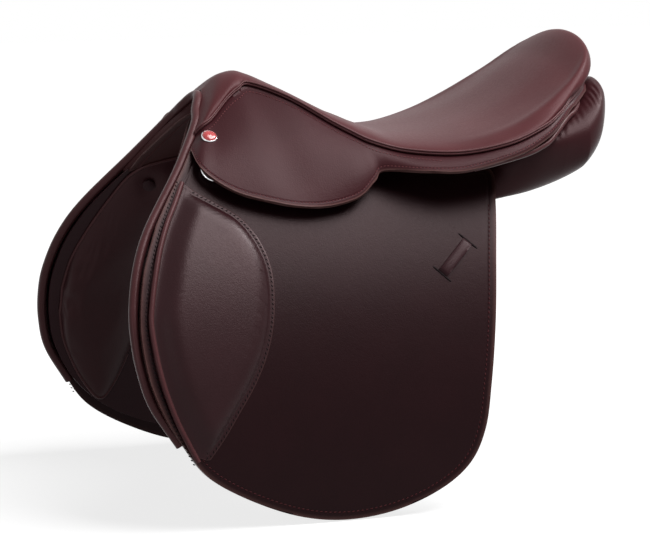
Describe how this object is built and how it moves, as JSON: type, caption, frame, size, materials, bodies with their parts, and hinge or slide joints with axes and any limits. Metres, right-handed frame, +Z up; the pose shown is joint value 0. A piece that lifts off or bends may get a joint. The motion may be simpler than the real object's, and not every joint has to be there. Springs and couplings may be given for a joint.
{
  "type": "jumping saddle",
  "caption": "Close-contact leather jumping saddle: forward-cut lifting flaps with knee pads, lifting skirts over stirrup bars, girth straps, stuffed panels and a deep sprung seat.",
  "frame": {"origin": "on the median plane below the deepest point of the seat, at the level of the line on which the panels bear on the back", "axes": "+X back from the head to the cantle, +Y to the off side, +Z up"},
  "size_m": [0.5362, 0.4194, 0.4541],
  "materials": {
    "seat_hide": "smooth",
    "skirt_hide": "smooth",
    "flap_hide": "smooth",
    "panel_hide": "soft",
    "welt_hide": "smooth",
    "strap_hide": "waxed",
    "tree_wood": "laminated",
    "plate_steel": "rolled",
    "bar_steel": "forged",
    "dee_chrome": "polished",
    "web_linen": "woven",
    "seat_foam": "foam",
    "stud_enamel": "gloss"
  },
  "bodies": {
    "saddle": {"tree_head": "tree_wood", "tree_rail": "tree_wood", "head_plate": "plate_steel", "gullet_plate": "plate_steel", "tree_rivets": "plate_steel", "seat_webs": "web_linen", "seat_foam": "seat_foam", "seat_cover": "seat_hide", "seat_welt_near": "welt_hide", "seat_welt_off": "welt_hide", "skirt_top_near": "skirt_hide", "skirt_top_off": "skirt_hide", "skirt_studs": "stud_enamel", "stirrup_bar_near": "bar_steel", "stirrup_bar_off": "bar_steel", "bar_rivets": "plate_steel", "catch_pin_near": "bar_steel", "catch_pin_off": "bar_steel", "flap_head_near": "flap_hide", "flap_head_off": "flap_hide", "dee_clip_near": "dee_chrome", "dee_clip_off": "dee_chrome", "sweat_flap_near": "strap_hide", "sweat_flap_off": "strap_hide", "front_welt": "welt_hide", "point_pocket_near": "strap_hide", "point_pocket_off": "strap_hide", "girth_webs_near": "web_linen", "girth_webs_off": "web_linen", "girth_strap_front_near": "strap_hide", "girth_strap_middle_near": "strap_hide", "girth_strap_rear_near": "strap_hide", "girth_strap_front_off": "strap_hide", "girth_strap_middle_off": "strap_hide", "girth_strap_rear_off": "strap_hide", "buckle_guard_near": "strap_hide", "buckle_guard_off": "strap_hide", "panel_near": "panel_hide", "panel_off": "panel_hide", "panel_buttons": "welt_hide", "gullet_lining": "panel_hide", "channel_cover": "panel_hide"},
    "near_skirt": {"skirt_near": "skirt_hide"},
    "off_skirt": {"skirt_off": "skirt_hide"},
    "near_catch": {"bar_catch_near": "bar_steel"},
    "off_catch": {"bar_catch_off": "bar_steel"},
    "near_flap": {"flap_near": "flap_hide", "knee_pad_near": "flap_hide", "flap_welt_near": "welt_hide", "leather_keeper_near": "strap_hide"},
    "off_flap": {"flap_off": "flap_hide", "knee_pad_off": "flap_hide", "flap_welt_off": "welt_hide", "leather_keeper_off": "strap_hide"},
    "near_dee": {"dee_ring_near": "dee_chrome"},
    "off_dee": {"dee_ring_off": "dee_chrome"}
  },
  "joints": [
    {"name": "near_flap_lift", "type": "hinge", "parent": "saddle", "child": "near_flap", "pos_m": [0, -0.12087, -0.012], "axis": [-1, 0, 0], "range_deg": [0, 80]},
    {"name": "near_skirt_lift", "type": "hinge", "parent": "saddle", "child": "near_skirt", "pos_m": [-0.20186, -0.10925, 0.03], "axis": [-0.9973, 0.0735, 0], "range_deg": [0, 70]},
    {"name": "near_catch_turn", "type": "hinge", "parent": "saddle", "child": "near_catch", "pos_m": [-0.079, -0.10233, 0.02577], "axis": [0, -0.7762, 0.6304], "range_deg": [0, 80]},
    {"name": "near_dee_swing", "type": "hinge", "parent": "saddle", "child": "near_dee", "pos_m": [-0.203, -0.08965, 0.03422], "axis": [-0.4067, 0.5966, 0.6918], "range_deg": [0, 18]},
    {"name": "off_flap_lift", "type": "hinge", "parent": "saddle", "child": "off_flap", "pos_m": [0, 0.12087, -0.012], "axis": [1, 0, 0], "range_deg": [0, 80]},
    {"name": "off_skirt_lift", "type": "hinge", "parent": "saddle", "child": "off_skirt", "pos_m": [-0.20186, 0.10925, 0.03], "axis": [0.9973, 0.0735, 0], "range_deg": [0, 70]},
    {"name": "off_catch_turn", "type": "hinge", "parent": "saddle", "child": "off_catch", "pos_m": [-0.079, 0.10233, 0.02577], "axis": [0, -0.7762, -0.6304], "range_deg": [0, 80]},
    {"name": "off_dee_swing", "type": "hinge", "parent": "saddle", "child": "off_dee", "pos_m": [-0.203, 0.08965, 0.03422], "axis": [0.4067, 0.5966, -0.6918], "range_deg": [0, 18]}
  ]
}
